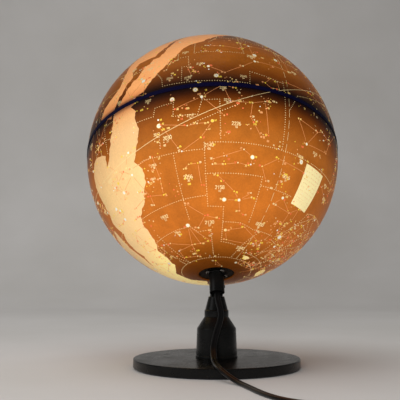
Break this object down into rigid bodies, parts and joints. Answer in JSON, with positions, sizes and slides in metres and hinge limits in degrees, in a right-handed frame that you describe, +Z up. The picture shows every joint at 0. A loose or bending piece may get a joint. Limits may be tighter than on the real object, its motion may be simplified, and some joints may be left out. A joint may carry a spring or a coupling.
{
  "type": "illuminated celestial globe",
  "caption": "Lit star globe that turns on a slanted neck over a turned black column and a heavy round base, with lamp holder, bulb, flat cord, cord switch and plug.",
  "frame": {"origin": "middle of the base's underside, on the surface that the globe stands on", "axes": "+Z up along the column; the polar axis leans back over +Y, so the south pole, the neck's open end and the cord are on the -Y side; +X to the right seen from there"},
  "size_m": [0.2554, 0.5186, 0.3234],
  "materials": {
    "black_enamel": "glossy black enamel",
    "felt": "pressed felt",
    "flange_black": "satin moulded",
    "nickel": "nickel plated",
    "globe_shell": "printed and lit from inside",
    "joint_ring": "moulded",
    "tape_navy": "printed tape",
    "hub_plastic": "moulded nylon",
    "brass": "turned",
    "holder_black": "phenolic moulding",
    "holder_insert": "ceramic white",
    "bulb_white": "opal",
    "cord_black": "smooth flexible sheath",
    "copper_core": "insulated core",
    "grommet": "moulded",
    "tie_black": "wrapped tie",
    "switch_black": "fine grained",
    "rocker_black": "smooth moulded",
    "plug_black": "moulded"
  },
  "bodies": {
    "stand": {"base_disc": "black_enamel", "column_body": "black_enamel", "column_neck": "black_enamel", "column_stud": "black_enamel", "neck_tube": "black_enamel", "base_pad": "felt", "spindle_nut_1": "nickel", "spindle_nut_2": "nickel", "terminal_screw_1": "nickel", "terminal_screw_2": "nickel", "thrust_washer": "nickel", "spring_washer": "nickel", "stud_nut": "nickel", "stud_washer": "nickel", "neck_grub_screw": "nickel", "spindle": "nickel", "switch_screw_1": "nickel", "switch_screw_2": "nickel", "bulb_cap": "nickel", "friction_washer": "holder_black", "centre_contact": "brass", "terminal_1": "brass", "terminal_2": "brass", "switch_contact_1": "brass", "switch_contact_2": "brass", "plug_pin_1": "brass", "plug_pin_2": "brass", "holder_cap": "holder_black", "holder_body": "holder_black", "holder_insert": "holder_insert", "bulb_contact": "holder_insert", "bulb_body": "bulb_white", "bulb_diffuser": "bulb_white", "internal_lead": "cord_black", "cord_lead": "cord_black", "cord_tail": "cord_black", "cord_end": "cord_black", "cord_coil": "cord_black", "lead_wire_1": "copper_core", "lead_wire_2": "copper_core", "cable_grommet": "grommet", "coil_tie": "tie_black", "switch_base": "switch_black", "switch_cover": "switch_black", "plug_body": "plug_black"},
    "globe": {"lower_hemisphere": "globe_shell", "upper_hemisphere": "globe_shell", "joint_ring": "joint_ring", "seam_tape": "tape_navy", "pole_flange": "flange_black", "flange_screw_1": "nickel", "flange_screw_2": "nickel", "flange_screw_3": "nickel", "flange_screw_4": "nickel", "hub_ring": "hub_plastic", "hub_bush": "brass"},
    "rocker": {"switch_rocker": "rocker_black"}
  },
  "joints": [
    {"name": "globe_spin", "type": "hinge", "parent": "stand", "child": "globe", "pos_m": [0, 0.04866, 0.19841], "axis": [0, 0.3987, 0.9171], "continuous": true},
    {"name": "rocker_tilt", "type": "hinge", "parent": "stand", "child": "rocker", "pos_m": [0.031, -0.334, 0.0104], "axis": [0, 1, 0], "range_deg": [-16, 0]}
  ]
}
